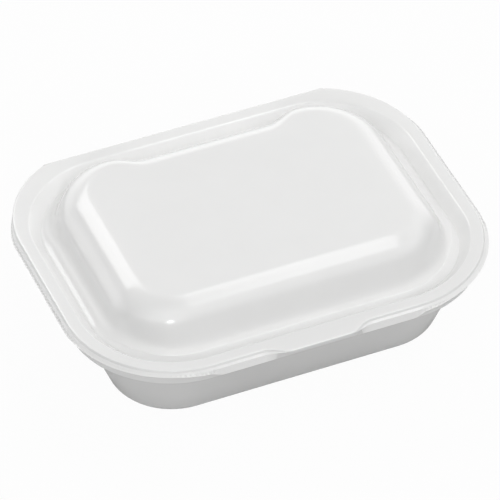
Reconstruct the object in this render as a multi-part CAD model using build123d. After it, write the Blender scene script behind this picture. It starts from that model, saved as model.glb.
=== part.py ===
"""Food container: a tray and a domed lid formed from one white plastic sheet, joined by a fold at the back.

X runs along the long side, +Y points to the fold at the back and +Z up. The origin is the centre of the
base. Lengths are in millimetres, angles in degrees.
"""

import os
from math import atan2, cos, pi, radians, sin, sqrt, tan

from build123d import *

os.makedirs("parts", exist_ok=True)

# The sheet and the fit of the closed lid on the tray
sheet = 0.9
seat_gap = 0.25
crease_gap = 0.15

# Rim: a rounded rectangle, cut straight along the fold
rim_length = 190.0
rim_width = 147.0
rim_radius = 47.5
fold_cut = 4.4
flange_width = 5.5

# Tray: base, sloping wall, flange with a turned-down edge
tray_height = 41.8
wall_angle = 69.0
mouth_inset = 5.0
base_bevel = 3.2
mouth_bevel = 0.8
edge_drop = 7.3
edge_lean = 0.3

# Lid edge: a small step, a ledge and a short skirt
step_drop = 1.0
step_reach = 0.75
ledge_reach = 1.55
skirt_reach = 2.4
skirt_drop = 2.6
fade_start = 30.0
fade_end = 52.0

# Locks and opening tab on the front of the lid
lock_start = 19.0
lock_end = 50.0
lock_reach = 2.75
lock_drop = 4.5
tab_reach = 5.0
tab_flat = 13.5
tab_root = 24.5

# Moat round the dome
moat_inset = 10.5
moat_depth = 5.2
moat_floor = 0.7

# Dome: foot radius, wall angle and crown radius of its ends, its back shoulders, and its front and waist
dome_height = 18.7
foot_angle = 12.0
end_form = (8.5, 70.0, 15.5)
shoulder_form = (5.0, 76.0, 9.5)
front_form = (9.0, 60.0, 13.0)
waist_flat_share = 0.65
dome_levels = 10

# Heights and lines that follow from the sizes above
lid_top = tray_height + seat_gap + sheet
edge_set_back = sheet
fold_y = rim_width / 2
fold_z = tray_height + seat_gap / 2
fold_radius = sheet + seat_gap / 2
fold_half = rim_length / 2 - rim_radius + sqrt(rim_radius**2 - (rim_radius - fold_cut) ** 2)
front_y = -rim_width / 2
clear = rim_width


def inner_outline(inset, z):
    """Rounded rectangle that lies a given distance inside the rim, at a height."""
    shape = RectangleRounded(rim_length - 2 * inset, rim_width - 2 * inset, rim_radius - inset)
    return Pos(0, 0, z) * shape


def rim_outline(reach, z):
    """Outer edge of the flange before its back is cut straight, pushed out by a given reach."""
    length = rim_length + 2 * reach
    width = rim_width + fold_cut + 2 * reach
    return Pos(0, fold_cut / 2, z) * RectangleRounded(length, width, rim_radius + reach)


def band(lower, upper):
    """Solid with straight sloping sides between two outlines."""
    return loft([lower, upper], ruled=True)


def along_x(points, half_length):
    """Prism along X with a section given in Y and Z."""
    section = Plane.YZ * Polyline(*points, close=True)
    return extrude(make_face(section), half_length, both=True)


def edge_fade(top, drop):
    """Wedge that takes the turned-down edge away towards the fold."""
    points = (
        (fade_start, top - drop),
        (fade_end, top),
        (clear, top),
        (clear, top - clear),
        (fade_start, top - clear),
    )
    return along_x(points, rim_length)


def behind(y):
    """Everything behind a line along X."""
    return Pos(0, y + clear / 2, 0) * Box(2 * rim_length, clear, 2 * clear)


def edges_at(body, z):
    """Edges that lie flat at a height."""
    tolerance = sheet / 10
    return body.edges().filter_by_position(Axis.Z, z - tolerance, z + tolerance)


def in_mouth(box):
    """Whether a box lies inside the middle of the flange all round."""
    reach_x = (rim_length - flange_width) / 2
    reach_y = (rim_width - flange_width) / 2
    return max(-box.min.X, box.max.X) < reach_x and max(-box.min.Y, box.max.Y) < reach_y


def make_tray():
    wall_shift = sheet / sin(radians(wall_angle))
    run = tray_height / tan(radians(wall_angle))
    inner_run = (tray_height - sheet) / tan(radians(wall_angle))
    base_inset = mouth_inset - wall_shift + run

    bowl = band(inner_outline(base_inset, 0), inner_outline(mouth_inset - wall_shift, tray_height))
    bowl = chamfer(edges_at(bowl, 0), base_bevel)
    hollow = band(inner_outline(mouth_inset + inner_run, sheet), inner_outline(mouth_inset, tray_height))
    hollow = chamfer(edges_at(hollow, sheet), base_bevel - sheet / 2)

    # Flange and turned-down edge, which leans in towards its foot
    foot = tray_height - edge_drop
    flange = band(
        rim_outline(-edge_set_back - edge_lean, foot),
        rim_outline(-edge_set_back, tray_height),
    )
    under = band(
        rim_outline(-edge_set_back - edge_lean - sheet, foot),
        rim_outline(-edge_set_back - sheet, tray_height - sheet),
    )
    flange = flange - under - edge_fade(tray_height - sheet, edge_drop - sheet) - behind(fold_y)

    # The fold is a round bead on its own axis
    bead = Pos(0, fold_y, fold_z) * Rot(0, 90, 0) * Cylinder(fold_radius, 2 * fold_half)

    tray = flange + bowl - hollow + bead
    mouth = [e for e in edges_at(tray, tray_height) if in_mouth(e.bounding_box())]
    return chamfer(mouth, mouth_bevel)


def run_at(height, form, thickness):
    """Distance from the dome's foot to its skin at a height: a foot arc, a straight wall and a crown arc."""
    foot_radius, angle, crown_radius = form[0], radians(form[1]), form[2]
    foot_run = -foot_radius * sin(radians(foot_angle))
    foot_centre = foot_radius * cos(radians(foot_angle))
    crown_centre = dome_height - crown_radius
    wall_rise = crown_centre + crown_radius * cos(angle) - foot_centre + foot_radius * cos(angle)
    crown_run = foot_run + (foot_radius + crown_radius) * sin(angle) + wall_rise / tan(angle)
    foot = foot_radius + thickness
    crown = crown_radius - thickness
    wall_start = foot_centre - foot * cos(angle)
    if height <= wall_start:
        return foot_run + sqrt(foot**2 - (foot_centre - height) ** 2)
    if height <= crown_centre + crown * cos(angle):
        return foot_run + foot * sin(angle) + (height - wall_start) / tan(angle)
    return crown_run - sqrt(max(crown**2 - (height - crown_centre) ** 2, 0))


def dome_section(z, half_length, front, back, waist, front_radius, back_radius):
    """Outline of the dome at a height: a rounded rectangle whose back is drawn in to a waist."""
    front_x = half_length - front_radius
    front_side = front + front_radius
    back_x = half_length - back_radius
    back_side = back - back_radius
    flat = waist_flat_share * back_x
    level = Vector(-1, 0)
    outline = [
        Line((flat, waist), (-flat, waist)),
        Spline((-flat, waist), (-back_x, back), tangents=(level, level)),
        CenterArc((-back_x, back_side), back_radius, 90, 90),
        Line((-half_length, back_side), (-half_length, front_side)),
        CenterArc((-front_x, front_side), front_radius, 180, 90),
        Line((-front_x, front), (front_x, front)),
        CenterArc((front_x, front_side), front_radius, 270, 90),
        Line((half_length, front_side), (half_length, back_side)),
        CenterArc((back_x, back_side), back_radius, 0, 90),
        Spline((back_x, back), (flat, waist), tangents=(level, level)),
    ]
    return Pos(0, 0, z) * Wire(outline)


def make_dome(thickness):
    """Solid under the dome's smooth upper skin, or under the plainer skin one sheet below it."""
    foot_inset = moat_inset + moat_floor
    foot_z = lid_top - moat_depth
    half_length = rim_length / 2 - foot_inset
    half_width = rim_width / 2 - foot_inset
    radius = rim_radius - foot_inset
    sections = []
    for level in range(dome_levels + 1):
        share = (1 - cos(pi * level / dome_levels)) / 2
        height = share * dome_height - thickness
        end_run = run_at(height, end_form, thickness)
        back_run = run_at(height, shoulder_form, thickness)
        front_run = run_at(height, front_form, thickness)
        section = dome_section(
            foot_z + height,
            half_length - end_run,
            front_run - half_width,
            half_width - back_run,
            half_width - front_run,
            radius - (end_run + front_run) / 2,
            radius - (end_run + back_run) / 2,
        )
        sections.append(section)
    return Solid.make_loft(sections, ruled=thickness > 0)


def make_edge(outer_reach, drop):
    """Skirt below the lid's ledge, as a closed ring of sheet with its top open into the ledge."""
    ledge_z = lid_top - step_drop
    outer = band(rim_outline(outer_reach, lid_top - drop), rim_outline(ledge_reach, ledge_z))
    outer += band(rim_outline(step_reach, ledge_z), rim_outline(0, lid_top))
    under = band(
        rim_outline(outer_reach - sheet, lid_top - drop),
        rim_outline(ledge_reach - sheet, ledge_z - sheet),
    )
    under += band(
        rim_outline(step_reach - sheet, ledge_z - sheet),
        rim_outline(-sheet, lid_top - sheet),
    )
    return outer - under


def make_tab():
    """Opening tab: the flange runs out level at the middle of the front."""
    tip = front_y - tab_reach
    root = front_y + flange_width / 2
    level = Vector(1, 0)
    outline = [
        Line((-tab_root, root), (-tab_root, front_y)),
        Spline((-tab_root, front_y), (-tab_flat, tip), tangents=(level, level)),
        Line((-tab_flat, tip), (tab_flat, tip)),
        Spline((tab_flat, tip), (tab_root, front_y), tangents=(level, level)),
        Line((tab_root, front_y), (tab_root, root)),
        Line((tab_root, root), (-tab_root, root)),
    ]
    return extrude(Pos(0, 0, lid_top - sheet) * make_face(outline), sheet)


def make_lid():
    rim = make_edge(skirt_reach, skirt_drop)
    lock = make_edge(lock_reach, lock_drop)
    lock_length = lock_end - lock_start
    lock_depth = rim_width / 4
    for side in (-1, 1):
        middle = side * (lock_start + lock_end) / 2
        window = Pos(middle, front_y, lid_top - lock_drop) * Box(lock_length, lock_depth, lock_drop)
        rim += lock & window
    finger_gap = Box(2 * lock_start, lock_depth, clear)
    rim -= Pos(0, front_y, lid_top - sheet - clear / 2) * finger_gap
    rim -= edge_fade(lid_top - sheet, skirt_drop - sheet)
    rim += make_tab()

    moat_angle = atan2(moat_depth, moat_inset - flange_width)
    shift = sheet * tan(moat_angle / 2)
    floor = lid_top - moat_depth
    bowl = band(
        inner_outline(moat_inset - shift, floor - sheet),
        inner_outline(flange_width - shift, lid_top - sheet),
    )
    hollow = band(inner_outline(moat_inset, floor), inner_outline(flange_width, lid_top))
    lid = rim + bowl - hollow
    lid = lid + make_dome(0) - make_dome(sheet)
    lid -= behind(fold_y - fold_radius - crease_gap)
    return lid


tray = make_tray()
lid = make_lid()
for name, piece in (("tray", tray), ("lid", lid)):
    solids = piece.solids()
    print(name, len(solids), "solid(s)", round(piece.volume), "mm3")
    export_step(piece, os.path.join("parts", name + ".step"))
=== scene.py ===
import math

import bmesh
import bpy
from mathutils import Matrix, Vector


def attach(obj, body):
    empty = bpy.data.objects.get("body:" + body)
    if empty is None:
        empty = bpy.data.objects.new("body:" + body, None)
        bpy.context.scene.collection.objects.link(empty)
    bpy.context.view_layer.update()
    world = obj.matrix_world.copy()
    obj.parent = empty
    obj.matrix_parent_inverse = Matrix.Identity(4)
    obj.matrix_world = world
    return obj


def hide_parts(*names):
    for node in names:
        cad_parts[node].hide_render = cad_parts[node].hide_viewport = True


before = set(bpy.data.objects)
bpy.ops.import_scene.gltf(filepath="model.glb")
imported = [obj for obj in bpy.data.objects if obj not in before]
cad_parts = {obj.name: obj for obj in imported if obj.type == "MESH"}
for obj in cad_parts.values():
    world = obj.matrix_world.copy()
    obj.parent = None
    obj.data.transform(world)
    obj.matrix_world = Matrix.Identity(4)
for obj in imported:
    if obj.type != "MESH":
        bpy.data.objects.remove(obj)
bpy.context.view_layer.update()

mm = 0.001

# sizes that the pieces share, in millimetres and degrees
rim = {
    "halfLength": 95.0,
    "halfWidth": 73.5,
    "radius": 47.5,
    "foldCut": 4.4,      # how much the straight fold takes off the back corners
    "flange": 5.5,
    "trayTop": 41.8,
    "sheet": 0.9,
    "seatGap": 0.25,     # between the tray and the closed lid
    "creaseGap": 0.15,
    "fadeStart": 30.0,   # the turned-down edges fade out from here towards the fold
    "fadeEnd": 52.0,
    "shadeAngle": 32.0,
}
lidTop = rim["trayTop"] + rim["seatGap"] + rim["sheet"]
foldZ = rim["trayTop"] + rim["seatGap"] / 2
foldRadius = rim["sheet"] + rim["seatGap"] / 2


def smooth(share):
    share = min(max(share, 0.0), 1.0)
    return share * share * (3.0 - 2.0 * share)


def mix(a, b, share):
    return a + (b - a) * share


def fadeAt(y):
    # 0 where an edge has its full depth, 1 near the fold
    return smooth((y - rim["fadeStart"]) / (rim["fadeEnd"] - rim["fadeStart"]))


def outlinePlaces(spacing, foldY):
    # places round the rim, from the left end of the front: stretch, side, and share or angle along it
    straightX = rim["halfLength"] - rim["radius"]
    straightY = rim["halfWidth"] - rim["radius"]
    endLength = 2 * straightY + rim["foldCut"]
    quarter = rim["radius"] * math.pi / 2
    backCentre = straightY + rim["foldCut"]
    kink = math.degrees(math.asin((foldY - backCentre) / rim["radius"]))
    untilKink = quarter * kink / 90
    afterKink = quarter * (90 - kink) / 180    # along the fold half as many places will do
    stretches = [
        ("front", 0, -1.0, 1.0, 2 * straightX),
        ("frontCorner", 1, -90.0, 0.0, quarter),
        ("end", 1, -1.0, 1.0, endLength),
        ("backCorner", 1, 0.0, kink, untilKink),
        ("backCorner", 1, kink, 90.0, afterKink),
        ("back", 0, 1.0, -1.0, straightX),
        ("backCorner", -1, 90.0, 180 - kink, afterKink),
        ("backCorner", -1, 180 - kink, 180.0, untilKink),
        ("end", -1, 1.0, -1.0, endLength),
        ("frontCorner", -1, 180.0, 270.0, quarter),
    ]
    places = []
    for stretch, side, start, end, length in stretches:
        steps = 2 * max(2, round(length / spacing / 2))    # even, so that ribs alternate all round
        for step in range(steps):
            places.append((stretch, side, mix(start, end, step / steps)))
    return places


def outlinePoint(place, halfLength, frontY, backY, frontRadius, backRadius):
    # a place on a rounded rectangle
    stretch, side, share = place
    if stretch == "end":
        return side * halfLength, mix(frontY + frontRadius, backY - backRadius, (share + 1) / 2)
    atFront = stretch in ("front", "frontCorner")
    radius = frontRadius if atFront else backRadius
    cornerX = halfLength - radius
    if stretch in ("front", "back"):
        return cornerX * share, frontY if atFront else backY
    angle = math.radians(share)
    cornerY = frontY + radius if atFront else backY - radius
    return side * cornerX + radius * math.cos(angle), cornerY + radius * math.sin(angle)


def rimPoint(place, reach, foldY):
    # a place on the flange's outline pushed out by a reach, cut straight at the fold
    backY = rim["halfWidth"] + rim["foldCut"] + reach
    radius = rim["radius"] + reach
    x, y = outlinePoint(place, rim["halfLength"] + reach, -rim["halfWidth"] - reach, backY, radius, radius)
    return x, min(y, foldY)


def innerPoint(place, inset):
    # a place on the rounded rectangle that lies an inset inside the rim
    width = rim["halfWidth"] - inset
    radius = rim["radius"] - inset
    return outlinePoint(place, rim["halfLength"] - inset, -width, width, radius, radius)


def towardsFront(place):
    # 0 at the ends and the back, 1 along the front
    stretch, side, angle = place
    if stretch == "frontCorner":
        return -angle / 90 if side > 0 else (angle - 180) / 90
    return 1.0 if stretch == "front" else 0.0


def roundedTurn(centre, radius, start, end, steps):
    # arc in inset and height
    turn = []
    for step in range(steps + 1):
        angle = math.radians(mix(start, end, step / steps))
        turn.append((centre[0] + radius * math.cos(angle), centre[1] + radius * math.sin(angle)))
    return turn


def insetRing(places, inset, z):
    return [(*innerPoint(place, inset), z) for place in places]


def turnRings(places, turn):
    return [insetRing(places, inset, z) for inset, z in turn]


def slopeRings(places, start, end, shares):
    # rings on a straight wall between two insets and heights
    slope = [(mix(start[0], end[0], share), mix(start[1], end[1], share)) for share in shares]
    return turnRings(places, slope)


def ringBetween(one, other, share):
    return [tuple(mix(a, b, share) for a, b in zip(*pair)) for pair in zip(one, other)]


def shrunkRing(ring, share):
    # the ring drawn in towards the middle, level
    return [(x * share, y * share, z) for x, y, z in ring]


def ringShell(name, rings):
    # a filled circle whose edge is extruded ring by ring and capped at the end,
    # with every new ring drawn onto its own outline
    bpy.ops.object.select_all(action="DESELECT")
    bpy.ops.mesh.primitive_circle_add(vertices=len(rings[0]), radius=mm, fill_type="NGON")
    shell = bpy.context.object
    shell.name = name
    bpy.ops.object.mode_set(mode="EDIT")
    bpy.ops.mesh.select_mode(type="EDGE")
    bm = bmesh.from_edit_mesh(shell.data)
    turn = bm.verts.layers.int.new("turn")
    bm.verts.ensure_lookup_table()
    for index, vert in enumerate(bm.verts):
        vert[turn] = index
        vert.co = Vector(rings[0][index]) * mm
    bmesh.update_edit_mesh(shell.data)
    bpy.ops.mesh.select_all(action="SELECT")
    for ring in rings[1:]:
        bpy.ops.mesh.extrude_edges_indiv()
        bm = bmesh.from_edit_mesh(shell.data)
        turn = bm.verts.layers.int["turn"]
        for vert in bm.verts:
            if vert.select:
                vert.co = Vector(ring[vert[turn]]) * mm
        bmesh.update_edit_mesh(shell.data)
    bpy.ops.mesh.edge_face_add()
    bpy.ops.mesh.select_all(action="SELECT")
    bpy.ops.mesh.normals_make_consistent(inside=False)
    bpy.ops.object.mode_set(mode="OBJECT")
    shell.data.attributes.remove(shell.data.attributes["turn"])
    return shell


def shadeByAngle(piece, degrees):
    bpy.ops.object.select_all(action="DESELECT")
    piece.select_set(True)
    bpy.context.view_layer.objects.active = piece
    bpy.ops.object.shade_smooth_by_angle(angle=math.radians(degrees))


# dome of the lid, drawn in to a waist at the back
dome = {
    "footInset": 11.2,
    "height": 18.7,
    "crown": 0.35,       # how much the middle of the top stands over its ridge
    "footAngle": 12.0,
    "end": (8.5, 70.0, 15.5),      # foot radius, wall angle, crown radius
    "shoulder": (5.0, 76.0, 9.5),
    "waist": (9.0, 60.0, 13.0),
    "front": (0.4, 60.0, 13.0),    # as the waist, but with a crisp foot
    "frontSet": 3.29,    # how much further in the crisp foot starts
    "corner": (0.4, 70.0, 15.5),   # as the ends, but with a crisp foot
    "cornerSet": 4.05,
    "cornerBlend": 0.5,  # share of a front corner over which its foot turns crisp
    "waistFlat": 0.65,
    "levels": 26,
    "topShares": (0.1, 0.22, 0.36, 0.5, 0.64, 0.77, 0.88, 0.96),
    "insideStep": 2,     # the inside has only every second ring
}


def domeRun(height, form, thickness):
    # distance from the dome's foot to its skin at a height: foot arc, straight wall, crown arc
    footRadius, angle, crownRadius = form[0], math.radians(form[1]), form[2]
    footRun = -footRadius * math.sin(math.radians(dome["footAngle"]))
    footCentre = footRadius * math.cos(math.radians(dome["footAngle"]))
    crownCentre = dome["height"] - crownRadius
    wallRise = crownCentre + crownRadius * math.cos(angle) - footCentre + footRadius * math.cos(angle)
    crownRun = footRun + (footRadius + crownRadius) * math.sin(angle) + wallRise / math.tan(angle)
    foot = footRadius + thickness
    crown = crownRadius - thickness
    wallStart = footCentre - foot * math.cos(angle)
    if height <= wallStart:
        return footRun + math.sqrt(foot**2 - (footCentre - height) ** 2)
    if height <= crownCentre + crown * math.cos(angle):
        return footRun + foot * math.sin(angle) + (height - wallStart) / math.tan(angle)
    return crownRun - math.sqrt(max(crown**2 - (height - crownCentre) ** 2, 0.0))


def towardsWaist(place):
    # 1 along the flat of the waist, 0 at the shoulders and everywhere else
    stretch, side, share = place
    if stretch != "back":
        return 0.0
    return 1 - smooth((abs(share) - dome["waistFlat"]) / (1 - dome["waistFlat"]))


def domeRing(places, level, thickness):
    # the dome's outline at a level, on its skin or one thickness below it
    share = (1 - math.cos(math.pi * level / dome["levels"])) / 2
    height = share * dome["height"] - thickness
    endRun = domeRun(height, dome["end"], thickness)
    backRun = domeRun(height, dome["shoulder"], thickness)
    waistRun = domeRun(height, dome["waist"], thickness)
    frontRun = dome["frontSet"] + domeRun(height, dome["front"], thickness)
    cornerRun = dome["cornerSet"] + domeRun(height, dome["corner"], thickness)
    halfLength = rim["halfLength"] - dome["footInset"]
    halfWidth = rim["halfWidth"] - dome["footInset"]
    radius = rim["radius"] - dome["footInset"]
    backRadius = radius - (endRun + backRun) / 2
    ridgeHeight = dome["height"] - dome["crown"]
    z = lidTop - moat["depth"] + share * ridgeHeight - thickness
    ring = []
    for place in places:
        run = mix(endRun, cornerRun, smooth(towardsFront(place) / dome["cornerBlend"]))
        frontRadius = radius - (run + frontRun) / 2
        frontY = frontRun - halfWidth
        backY = halfWidth - backRun
        x, y = outlinePoint(place, halfLength - run, frontY, backY, frontRadius, backRadius)
        ring.append((x, y - (waistRun - backRun) * towardsWaist(place), z))
    return ring


def topRing(ridge, share):
    # ring on the crowned top, inside its ridge
    rise = dome["crown"] * (1 - share**2)
    return [(x, y, z + rise) for x, y, z in shrunkRing(ridge, share)]


def domeRings(places):
    # from the middle of the top down to the foot
    ridge = domeRing(places, dome["levels"], 0)
    rings = [topRing(ridge, share) for share in dome["topShares"]]
    return rings + [domeRing(places, level, 0) for level in range(dome["levels"], -1, -1)]


def insideRings(places):
    # under the flange and the moat, and up the inside of the dome
    sheet = rim["sheet"]
    step = dome["insideStep"]
    shift = sheet * math.tan(math.atan2(moat["depth"], moat["inset"] - rim["flange"]) / 2)
    rings = [
        insetRing(places, rim["flange"] - shift, lidTop - sheet),
        insetRing(places, moat["inset"] - shift, lidTop - moat["depth"] - sheet),
    ]
    rings += [domeRing(places, level, sheet) for level in range(0, dome["levels"] + 1, step)]
    ridge = rings[-1]
    return rings + [topRing(ridge, share) for share in reversed(dome["topShares"][::step])]


# moat round the dome, and the lip where the flange begins
moat = {
    "inset": 10.5,
    "depth": 5.2,
    "floorShares": (0.06, 0.5, 1.0),    # rings across the floor, from the dome's foot
    "footRound": 0.3,
    "footRise": 0.8,     # the wall's first ring rises by this share of the wall's slope
    "wallShares": (0.5,),
    "lipRadius": 1.6,
    "lipSteps": 6,
}


def moatRings(places, domeFoot):
    # across the floor, up the wall and over the lip
    floorZ = lidTop - moat["depth"]
    slope = moat["depth"] / (moat["inset"] - rim["flange"])
    wallAngle = math.degrees(math.atan(slope))
    floor = insetRing(places, moat["inset"], floorZ)
    rings = [ringBetween(domeFoot, floor, share) for share in moat["floorShares"]]
    rise = moat["footRound"] * slope * moat["footRise"]
    rings.append(insetRing(places, moat["inset"] - moat["footRound"], floorZ + rise))
    rings += slopeRings(places, (moat["inset"], floorZ), (rim["flange"], lidTop), moat["wallShares"])
    lip = moat["lipRadius"]
    lipCentre = (rim["flange"] - lip * math.tan(math.radians(wallAngle / 2)), lidTop - lip)
    return rings + turnRings(places, roundedTurn(lipCentre, lip, 90 - wallAngle, 90, moat["lipSteps"]))


# edge of the lid: step, ledge and ribbed skirt, with two deeper locks and the tab at the front
lidEdge = {
    "round": 0.3,
    "roundShares": ((3.0, 0.0), (1.0, 0.0), (0.3, 0.2)),    # inward and down, from flange to step
    "stepStart": 0.5,    # drop at the step's top, as a share of the rounding
    "stepReach": 0.5,
    "stepDrop": 1.0,
    "stepShares": (0.0, 0.2, 0.85, 1.0),
    "ledgeReach": 1.65,
    "ledgeLean": 0.48,
    "ledgeShare": 0.2,   # ring on the ledge, close to the step
    "skirtReach": 2.4,
    "skirtDrop": 2.6,
    "cornerReach": 2.3,
    "cornerDrop": 1.9,
    "cornerBlend": 0.25,     # share of a front corner over which its shorter skirt comes in
    "ribPitch": 2.0,
    "ribDepth": 0.5,
    "ribDrop": 0.12,
    "ribShares": (0.0, 0.12, 0.9),
    "frontBand": 2.0,    # places this close to the front can have a lock or the tab
    "lockStart": 19.0,
    "lockEnd": 50.0,
    "lockReach": 2.75,
    "lockDrop": 4.5,
    "lockRamp": 7.0,
    "lockOverrun": 0.5,
    "gapRamp": 1.0,      # how sharply the skirt stops at the finger gap under the tab
    "tabReach": 5.0,
    "tabFlat": 13.5,
    "tabRoot": 24.5,
    "tabUnder": 0.8,     # how far out the tab's underside turns, as a share of its reach
    "bareStepDrop": 0.3,     # step and ledge where there is no skirt
    "bareLedgeDrop": 0.5,
    "footShare": 0.8,    # width of the skirt's lower edge, as a share of the sheet
    "underStep": 0.1,
    "underFlange": 0.2,
    "foldGap": 0.03,
}


def edgeAt(place, foldY):
    # the edge at a place on the rim: how far its lines reach out and how far they drop
    edge = lidEdge
    x, y = rimPoint(place, 0, foldY)
    fade = fadeAt(y)
    tab = gap = lock = 0.0
    if y < edge["frontBand"] - rim["halfWidth"]:
        tab = smooth((edge["tabRoot"] - abs(x)) / (edge["tabRoot"] - edge["tabFlat"]))
        gap = smooth((edge["lockStart"] + edge["lockOverrun"] - abs(x)) / edge["gapRamp"])
        lock = smooth((edge["lockEnd"] + edge["lockOverrun"] - abs(x)) / edge["lockRamp"])
    front = towardsFront(place)
    corner = smooth(min(front, 1 - front) / edge["cornerBlend"])
    top = edge["tabReach"] * tab
    bare = max(fade, tab)
    noSkirt = max(gap, fade)
    low = mix(mix(edge["skirtReach"], edge["cornerReach"], corner), edge["lockReach"], lock)
    drop = mix(mix(edge["skirtDrop"], edge["cornerDrop"], corner), edge["lockDrop"], lock)
    return {
        "top": top,
        "step": top + edge["stepReach"] * (1 - bare),
        "stepDrop": mix(edge["stepDrop"], edge["bareStepDrop"], bare),
        "ledge": top + edge["ledgeReach"] * (1 - bare),
        "ledgeDrop": mix(edge["stepDrop"] + edge["ledgeLean"], edge["bareLedgeDrop"], bare),
        "low": max(mix(low, top, noSkirt), top),
        "drop": mix(drop, rim["sheet"], noSkirt),
        "bare": bare,
        "ribbed": (1 - lock) * (1 - fade),
    }


def edgeSection(at, odd):
    # reach and drop from the flange down to the lower edge, and back along the underside
    edge = lidEdge
    sheet = rim["sheet"]
    soft = edge["round"]
    section = [(at["top"] - soft * inward, soft * down) for inward, down in edge["roundShares"]]
    for share in edge["stepShares"]:
        drop = mix(soft * edge["stepStart"], at["stepDrop"], share)
        section.append((mix(at["top"], at["step"], share), drop))
    share = edge["ledgeShare"]
    section.append((mix(at["step"], at["ledge"], share), mix(at["stepDrop"], at["ledgeDrop"], share)))
    rib = odd * at["ribbed"]    # every other place is drawn in to a rib's foot
    for share in edge["ribShares"]:
        reach = mix(at["ledge"], at["low"], share) - rib * edge["ribDepth"]
        drop = mix(at["ledgeDrop"], at["drop"], share) + rib * edge["ribDrop"] * (1 - share)
        section.append((reach, drop))
    underDrop = mix(at["ledgeDrop"] + sheet, sheet, at["bare"])
    section += [
        (at["low"], at["drop"]),
        (at["low"] - sheet * edge["footShare"], at["drop"]),
        (at["ledge"] - sheet, underDrop),
        (at["step"] - sheet - edge["underStep"], underDrop),
        (at["top"] * edge["tabUnder"] - sheet - edge["underFlange"], sheet),
    ]
    return section


def foldEdge(drop):
    # the lid's back edge lies close on the round bead of the fold
    radius = foldRadius + lidEdge["foldGap"]
    rise = foldRadius - drop
    return rim["halfWidth"] - math.sqrt(max(radius**2 - rise**2, 0.0))


def edgeRings(places, foldY):
    sections = [edgeSection(edgeAt(place, foldY), index % 2) for index, place in enumerate(places)]
    rings = []
    for spots in zip(*sections):
        ring = []
        for place, (reach, drop) in zip(places, spots):
            ring.append((*rimPoint(place, reach, foldEdge(drop)), lidTop - drop))
        rings.append(ring)
    return rings


def makeLid():
    foldY = rim["halfWidth"] - foldRadius - rim["creaseGap"]
    places = outlinePlaces(lidEdge["ribPitch"] / 2, foldY)
    rings = domeRings(places)
    rings += moatRings(places, rings[-1])
    rings += edgeRings(places, foldY)
    rings += insideRings(places)
    lid = ringShell("lidShell", rings)
    shadeByAngle(lid, rim["shadeAngle"])
    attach(lid, "lid_body")
    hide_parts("lid")
    print("lid", len(lid.data.polygons), "faces")
    return lid


# tray: base, sloping wall, flange and its turned-down edge
trayForm = {
    "spacing": 2.0,      # between places round the rim
    "wallAngle": 69.0,
    "wallShares": (0.3, 0.6, 0.9),
    "insideShares": (0.35, 0.7),
    "mouthInset": 5.0,
    "mouthRadius": 1.2,
    "mouthSteps": 5,
    "baseRadius": 4.5,
    "baseSteps": 6,
    "baseShares": (0.25, 0.5, 0.75, 0.93),    # rings across the flat base
    "edgeDrop": 8.2,
    "edgeSetBack": 0.9,
    "edgeLean": 0.3,
    "footRound": ((0.5, 0.0), (0.2, 0.45), (0.05, 1.2)),    # inward and up, at the edge's foot
    "edgeRound": 0.25,
    "topShares": ((0.0, 1.0), (0.3, 0.3), (1.0, 0.0)),    # inward and down, at the edge's top
}


def wallTurn(base, mouthInset, radius):
    # inset and height of the skin, from the flat base into the wall
    wallAngle = trayForm["wallAngle"]
    lean = math.radians(wallAngle)
    corner = mouthInset + (rim["trayTop"] - base) / math.tan(lean)
    centre = (corner + radius * math.tan(lean / 2), base + radius)
    return roundedTurn(centre, radius, -90, -90 - wallAngle, trayForm["baseSteps"])


def trayEdgeRing(places, setBack, drop):
    # towards the fold the turned-down edge fades out to the flange's own thickness
    foldY = rim["halfWidth"]
    ring = []
    for place in places:
        fade = fadeAt(rimPoint(place, 0, foldY)[1])
        fadedDrop = mix(drop, min(drop, rim["sheet"]), fade)
        ring.append((*rimPoint(place, -setBack, foldY), rim["trayTop"] - fadedDrop))
    return ring


def makeTray():
    form = trayForm
    places = outlinePlaces(form["spacing"], rim["halfWidth"])
    top = rim["trayTop"]
    sheet = rim["sheet"]
    lean = math.radians(form["wallAngle"])
    outerInset = form["mouthInset"] - sheet / math.sin(lean)
    outer = wallTurn(0, outerInset, form["baseRadius"])
    inner = wallTurn(sheet, form["mouthInset"], form["baseRadius"] - sheet)

    # base and outside of the wall, up to the flange's underside
    base = insetRing(places, *outer[0])
    rings = [shrunkRing(base, share) for share in form["baseShares"]]
    rings += turnRings(places, outer)
    rings += slopeRings(places, outer[-1], (outerInset, top), form["wallShares"])
    rings.append(insetRing(places, outerInset + sheet / math.tan(lean), top - sheet))

    # round the turned-down edge
    setBack = form["edgeSetBack"]
    footBack = setBack + form["edgeLean"]
    edgeTurn = [(setBack + sheet, sheet), (footBack + sheet, form["edgeDrop"])]
    edgeTurn += [(footBack + inward, form["edgeDrop"] - up) for inward, up in form["footRound"]]
    edgeRound = form["edgeRound"]
    edgeTurn += [(setBack + edgeRound * inward, edgeRound * down) for inward, down in form["topShares"]]
    rings += [trayEdgeRing(places, back, drop) for back, drop in edgeTurn]

    # over the mouth and down the inside
    mouth = form["mouthRadius"]
    centre = (form["mouthInset"] - mouth * math.tan(lean / 2), top - mouth)
    mouthTurn = roundedTurn(centre, mouth, 90, 90 - form["wallAngle"], form["mouthSteps"])
    rings += turnRings(places, mouthTurn)
    rings += slopeRings(places, mouthTurn[-1], inner[-1], form["insideShares"])
    rings += turnRings(places, reversed(inner))
    floor = rings[-1]
    rings += [shrunkRing(floor, share) for share in reversed(form["baseShares"])]
    tray = ringShell("trayShell", rings)
    shadeByAngle(tray, rim["shadeAngle"])
    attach(tray, "tray_body")
    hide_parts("tray")
    print("tray", len(tray.data.polygons), "faces")
    return tray


# fold: the round bead along the back that joins both halves
foldBead = {
    "sides": 24,
    "endRound": 0.9,
    "endSegments": 4,
    "shadeAngle": 40.0,
}


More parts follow.
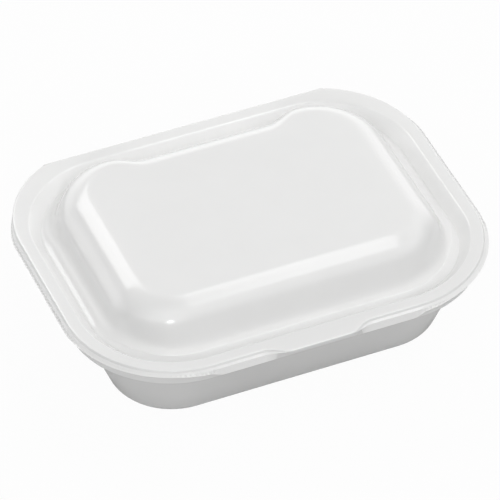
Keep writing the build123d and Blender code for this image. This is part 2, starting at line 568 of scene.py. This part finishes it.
def makeFold():
    backCentre = rim["halfWidth"] - rim["radius"] + rim["foldCut"]
    kink = math.asin((rim["halfWidth"] - backCentre) / rim["radius"])
    halfLength = rim["halfLength"] - rim["radius"] + rim["radius"] * math.cos(kink)
    bpy.ops.object.select_all(action="DESELECT")
    bpy.ops.mesh.primitive_cylinder_add(
        vertices=foldBead["sides"],
        radius=foldRadius * mm,
        depth=2 * halfLength * mm,
        location=(0, rim["halfWidth"] * mm, foldZ * mm),
        rotation=(0, math.pi / 2, 0),
    )
    bead = bpy.context.object
    bead.name = "foldBead"
    bpy.ops.object.transform_apply(location=True, rotation=True, scale=True)
    bpy.ops.object.mode_set(mode="EDIT")
    bpy.ops.mesh.select_mode(type="EDGE")
    bpy.ops.mesh.select_all(action="DESELECT")
    bm = bmesh.from_edit_mesh(bead.data)
    for edge in bm.edges:    # those round the two ends
        edge.select = abs(edge.verts[0].co.x - edge.verts[1].co.x) < mm
    bmesh.update_edit_mesh(bead.data)
    bpy.ops.mesh.bevel(offset=foldBead["endRound"] * mm, segments=foldBead["endSegments"])
    bpy.ops.object.mode_set(mode="OBJECT")
    shadeByAngle(bead, foldBead["shadeAngle"])
    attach(bead, "tray_body")
    print("fold", len(bead.data.polygons), "faces")
    return bead


# glossy white sheet with faint clouds and a fine grain
whiteSheet = {
    "colour": (0.86, 0.86, 0.855, 1),
    "cloudColour": (0.835, 0.835, 0.83, 1),
    "cloudScale": 60,
    "cloudDetail": 2,
    "leastRoughness": 0.16,
    "mostRoughness": 0.19,
    "refraction": 1.49,
    "specular": 0.75,
    "grainScale": 900,
    "grainDetail": 3,
    "grainStrength": 0.05,
    "grainHeight": 0.01,
}


def makeWhiteSheet():
    look = whiteSheet
    material = bpy.data.materials.new("whiteSheet")
    material.use_nodes = True
    nodes = material.node_tree.nodes
    links = material.node_tree.links
    shader = nodes["Principled BSDF"]
    shader.inputs["IOR"].default_value = look["refraction"]
    shader.inputs["Specular IOR Level"].default_value = look["specular"]
    place = nodes.new("ShaderNodeTexCoord")

    def noise(scale, detail):
        texture = nodes.new("ShaderNodeTexNoise")
        texture.inputs["Scale"].default_value = scale
        texture.inputs["Detail"].default_value = detail
        links.new(place.outputs["Object"], texture.inputs["Vector"])
        return texture.outputs["Fac"]

    grain = noise(look["grainScale"], look["grainDetail"])
    cloud = noise(look["cloudScale"], look["cloudDetail"])
    tint = nodes.new("ShaderNodeMix")
    tint.data_type = "RGBA"
    tint.inputs["A"].default_value = look["cloudColour"]
    tint.inputs["B"].default_value = look["colour"]
    links.new(cloud, tint.inputs["Factor"])
    links.new(tint.outputs["Result"], shader.inputs["Base Color"])
    gloss = nodes.new("ShaderNodeMapRange")
    gloss.inputs["To Min"].default_value = look["leastRoughness"]
    gloss.inputs["To Max"].default_value = look["mostRoughness"]
    links.new(grain, gloss.inputs["Value"])
    links.new(gloss.outputs["Result"], shader.inputs["Roughness"])
    bump = nodes.new("ShaderNodeBump")
    bump.inputs["Strength"].default_value = look["grainStrength"]
    bump.inputs["Distance"].default_value = look["grainHeight"] * mm
    links.new(grain, bump.inputs["Height"])
    links.new(bump.outputs["Normal"], shader.inputs["Normal"])
    print("white sheet ready")
    return material


# studio: pale floor, soft sky, two strip lights and a front lamp, camera at the photograph's angle
studio = {
    "floorSize": 6.0,
    "floorDrop": 0.2,    # millimetres below the base
    "floorColour": (0.65, 0.65, 0.65, 1),
    "floorRoughness": 0.9,
    "whiteShare": 0.96,  # how much of the floor the camera sees as plain white
    "skyColour": (1, 1, 1, 1),
    "sky": {
        # strength, and along each axis the direction where it starts and where it is full
        "above": (0.05, (("Z", 0.0, 1.0),)),
        "rightCorner": (0.25, (("X", 0.1, 0.5), ("Y", 0.0, -0.4), ("Z", 0.4, 0.7))),
        "front": (1.85, (("Y", 0.2, -0.6), ("X", 0.7, -0.2), ("Z", 0.2, 0.6))),
        "right": (1.3, (("X", 0.1, 0.8), ("Z", 0.3, 0.7))),
        "backdrop": (1.6, (("Y", 0.1, 0.6), ("Z", 0.62, 0.3))),
    },
    "lamps": {
        # place, size across and along in metres, tilt about X, power
        "backStrip": ((-0.17, 1.03, 1.05), 0.8, 0.3, -45.0, 2.4),
        "topStrip": ((0.36, 0.12, 1.05), 0.22, 1.1, 0.0, 2.0),
        "frontLamp": ((-0.36, -0.84, 0.54), 0.13, 0.09, 61.0, 0.9),
    },
    "azimuth": -23.1,
    "elevation": 41.8,
    "distance": 2000.0,
    "aim": (0.0, 2.2, 42.95),
    "lens": 331.7,
    "sensor": 36.0,
    "shift": (0.005, -0.0508),
}


def makeFloor():
    bpy.ops.object.select_all(action="DESELECT")
    bpy.ops.mesh.primitive_plane_add(size=studio["floorSize"], location=(0, 0, -studio["floorDrop"] * mm))
    floor = bpy.context.object
    floor.name = "floor"
    bpy.ops.object.transform_apply(location=True)
    material = bpy.data.materials.new("paleFloor")
    material.use_nodes = True
    nodes = material.node_tree.nodes
    links = material.node_tree.links
    shader = nodes["Principled BSDF"]
    shader.inputs["Base Color"].default_value = studio["floorColour"]
    shader.inputs["Roughness"].default_value = studio["floorRoughness"]
    glow = nodes.new("ShaderNodeEmission")
    path = nodes.new("ShaderNodeLightPath")
    share = nodes.new("ShaderNodeMath")
    share.operation = "MULTIPLY"
    share.inputs[1].default_value = studio["whiteShare"]
    links.new(path.outputs["Is Camera Ray"], share.inputs[0])
    blend = nodes.new("ShaderNodeMixShader")
    links.new(share.outputs["Value"], blend.inputs["Fac"])
    links.new(shader.outputs["BSDF"], blend.inputs[1])
    links.new(glow.outputs["Emission"], blend.inputs[2])
    links.new(blend.outputs["Shader"], nodes["Material Output"].inputs["Surface"])
    floor.data.materials.append(material)


def makeSky():
    # soft light from above, the front and the right, and a white backdrop low at the back
    world = bpy.data.worlds.new("studioWorld")
    bpy.context.scene.world = world
    world.use_nodes = True
    nodes = world.node_tree.nodes
    links = world.node_tree.links
    sky = nodes["Background"]
    sky.inputs["Color"].default_value = studio["skyColour"]
    direction = nodes.new("ShaderNodeTexCoord")
    split = nodes.new("ShaderNodeSeparateXYZ")
    links.new(direction.outputs["Generated"], split.inputs["Vector"])

    def ramp(axis, start, full):
        part = nodes.new("ShaderNodeMapRange")
        part.interpolation_type = "SMOOTHSTEP"
        part.inputs["From Min"].default_value = start
        part.inputs["From Max"].default_value = full
        links.new(split.outputs[axis], part.inputs["Value"])
        return part.outputs["Result"]

    def join(operation, one, other):
        node = nodes.new("ShaderNodeMath")
        node.operation = operation
        for socket, value in zip(node.inputs, (one, other)):
            if isinstance(value, float):
                socket.default_value = value
            else:
                links.new(value, socket)
        return node.outputs["Value"]

    strength = 0.0
    for part, ramps in studio["sky"].values():
        for axis, start, full in ramps:
            part = join("MULTIPLY", ramp(axis, start, full), part)
        strength = join("ADD", part, strength)
    links.new(strength, sky.inputs["Strength"])


def makeLamps():
    for name, (place, across, along, tilt, power) in studio["lamps"].items():
        bpy.ops.object.light_add(type="AREA", location=place)
        lamp = bpy.context.object
        lamp.name = name
        lamp.data.shape = "RECTANGLE"
        lamp.data.size = across
        lamp.data.size_y = along
        lamp.data.energy = power
        lamp.rotation_euler = (math.radians(tilt), 0, 0)


def makeCamera():
    azimuth = math.radians(studio["azimuth"])
    elevation = math.radians(studio["elevation"])
    level = math.cos(elevation)
    back = Vector((math.sin(azimuth) * level, -math.cos(azimuth) * level, math.sin(elevation)))
    data = bpy.data.cameras.new("camera")
    data.lens = studio["lens"]
    data.sensor_width = studio["sensor"]
    data.shift_x, data.shift_y = studio["shift"]
    camera = bpy.data.objects.new("camera", data)
    bpy.context.collection.objects.link(camera)
    camera.location = (Vector(studio["aim"]) + back * studio["distance"]) * mm
    camera.rotation_mode = "QUATERNION"
    camera.rotation_quaternion = (-back).to_track_quat("-Z", "Y")
    bpy.context.scene.camera = camera


pieces = [makeLid(), makeTray(), makeFold()]
sheetMaterial = makeWhiteSheet()
for piece in pieces:
    piece.data.materials.clear()
    piece.data.materials.append(sheetMaterial)
makeFloor()
makeSky()
makeLamps()
makeCamera()
bpy.context.scene.view_settings.view_transform = "Standard"
print("studio ready")
